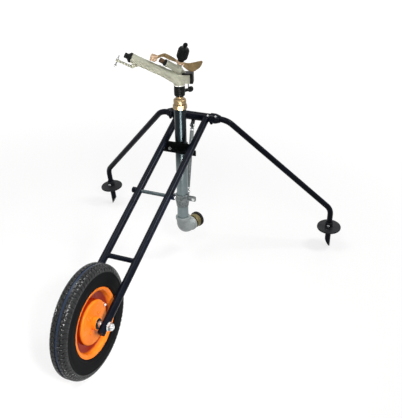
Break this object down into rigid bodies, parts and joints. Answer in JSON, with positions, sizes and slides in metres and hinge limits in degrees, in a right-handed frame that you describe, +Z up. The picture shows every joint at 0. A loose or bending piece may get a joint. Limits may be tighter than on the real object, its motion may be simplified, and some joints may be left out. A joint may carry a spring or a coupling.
{
  "type": "impact sprinkler on wheeled stand",
  "caption": "Part-circle impact sprinkler with a long barrel on a riser, held by a folding tripod stand with one pneumatic wheel and two spiked legs.",
  "frame": {"origin": "on the ground, at the centre of the stand's footprint box", "axes": "+Z up, along the riser; +Y from the wheel towards the two legs; +X to the right of someone who looks along +Y"},
  "size_m": [1.0962, 1.2349, 0.8698],
  "materials": {
    "black_paint": "gloss black paint on steel tube",
    "orange_paint": "orange paint on pressed steel",
    "galvanised": "galvanised steel",
    "zinc_steel": "bright zinc plate",
    "brass": "turned brass",
    "bronze": "cast bronze",
    "casting": "cast, pale grey-green",
    "black_plastic": "moulded black plastic",
    "nylon": "white nylon",
    "rubber": "black rubber",
    "tyre": "pneumatic tyre rubber"
  },
  "bodies": {
    "stand": {"rail_left": "black_paint", "rail_right": "black_paint", "cross_tube": "black_paint", "low_cross_bar": "black_paint", "riser_plate": "black_paint", "riser_strap": "black_paint", "spreader_rod": "galvanised", "leg_socket_left": "black_paint", "leg_socket_right": "black_paint", "pinch_bolt_left": "zinc_steel", "pinch_bolt_right": "zinc_steel", "strap_bolt_left": "zinc_steel", "strap_bolt_right": "zinc_steel", "saddle_bolt_left": "zinc_steel", "saddle_bolt_right": "zinc_steel", "saddle_front": "galvanised", "saddle_back": "galvanised", "stay_bracket": "black_paint", "stay_tube": "galvanised", "riser_pipe": "galvanised", "elbow": "galvanised", "coupling_tail": "brass", "riser_adaptor": "brass", "bearing_nipple": "brass", "bearing_sleeve": "black_plastic", "bearing_spring": "zinc_steel", "axle": "zinc_steel", "axle_nut": "zinc_steel", "axle_spacer_left": "zinc_steel", "axle_spacer_right": "zinc_steel"},
    "wheel": {"tyre": "tyre", "rim_near_half": "orange_paint", "rim_far_half": "orange_paint", "hub": "black_paint", "valve_stem": "zinc_steel", "bearing_left": "zinc_steel", "bearing_right": "zinc_steel"},
    "left_leg": {"leg_left": "black_paint"},
    "right_leg": {"leg_right": "black_paint"},
    "left_foot": {"foot_left": "black_paint"},
    "right_foot": {"foot_right": "black_paint"},
    "hose_coupling": {"coupling_nut": "brass", "coupling_guard": "rubber"},
    "lower_collar": {"trip_collar_lower": "black_plastic", "trip_thumb_screw": "black_plastic"},
    "upper_collar": {"trip_collar_upper": "black_plastic"},
    "head": {"head_body": "casting", "inlet_tube": "brass", "seal_ring": "nylon", "main_nozzle": "black_plastic", "spreader_nozzle_nut": "black_plastic", "spreader_tip": "bronze", "trip_cover": "black_plastic", "arm_pivot_pin": "zinc_steel", "arm_spring": "zinc_steel", "spring_cap": "black_plastic"},
    "jet_screw": {"jet_breaker_screw": "zinc_steel"},
    "arm": {"drive_arm": "bronze"},
    "knob": {"tension_knob": "black_plastic"},
    "lever": {"trip_lever": "black_plastic"}
  },
  "joints": [
    {"name": "wheel_spin", "type": "hinge", "parent": "stand", "child": "wheel", "pos_m": [0, -0.43473, 0.183], "axis": [1, 0, 0], "continuous": true},
    {"name": "left_leg_fold", "type": "hinge", "parent": "stand", "child": "left_leg", "pos_m": [0, 0.37567, 0.5666], "axis": [1, 0, 0], "range_deg": [-90, 0]},
    {"name": "right_leg_fold", "type": "hinge", "parent": "stand", "child": "right_leg", "pos_m": [0, 0.37567, 0.5666], "axis": [1, 0, 0], "range_deg": [-90, 0]},
    {"name": "left_foot_slide", "type": "slide", "parent": "left_leg", "child": "left_foot", "axis": [-0.0469, -0.1174, 0.992], "range_m": [-0.05, 0.03]},
    {"name": "right_foot_slide", "type": "slide", "parent": "right_leg", "child": "right_foot", "axis": [0.0469, -0.1174, 0.992], "range_m": [-0.05, 0.03]},
    {"name": "coupling_swivel", "type": "hinge", "parent": "stand", "child": "hose_coupling", "pos_m": [0, 0.25927, 0.145], "axis": [0.225, 0.9744, 0], "continuous": true},
    {"name": "head_turn", "type": "hinge", "parent": "stand", "child": "head", "pos_m": [0, 0.25927, 0.7235], "axis": [0, 0, 1], "continuous": true},
    {"name": "lower_collar_turn", "type": "hinge", "parent": "stand", "child": "lower_collar", "pos_m": [0, 0.25927, 0.6964], "axis": [0, 0, 1], "range_deg": [-170, 170]},
    {"name": "upper_collar_turn", "type": "hinge", "parent": "stand", "child": "upper_collar", "pos_m": [0, 0.25927, 0.7066], "axis": [0, 0, 1], "range_deg": [-170, 170]},
    {"name": "arm_swing", "type": "hinge", "parent": "head", "child": "arm", "pos_m": [0.00495, 0.26088, 0.801], "axis": [0.286, 0.0929, 0.9537], "range_deg": [0, 75], "stiffness_Nm_per_rad": 0.15, "springref_deg": -22.92},
    {"name": "tension_knob_turn", "type": "hinge", "parent": "head", "child": "knob", "pos_m": [0.00495, 0.26088, 0.801], "axis": [0.286, 0.0929, 0.9537], "range_deg": [-180, 180]},
    {"name": "trip_lever_tilt", "type": "hinge", "parent": "head", "child": "lever", "pos_m": [0, 0.25927, 0.747], "axis": [-0.9511, -0.309, 0], "range_deg": [-12, 12]},
    {"name": "jet_screw_travel", "type": "slide", "parent": "head", "child": "jet_screw", "axis": [0.3899, 0.1267, 0.9121], "range_m": [-0.005, 0.011]}
  ]
}
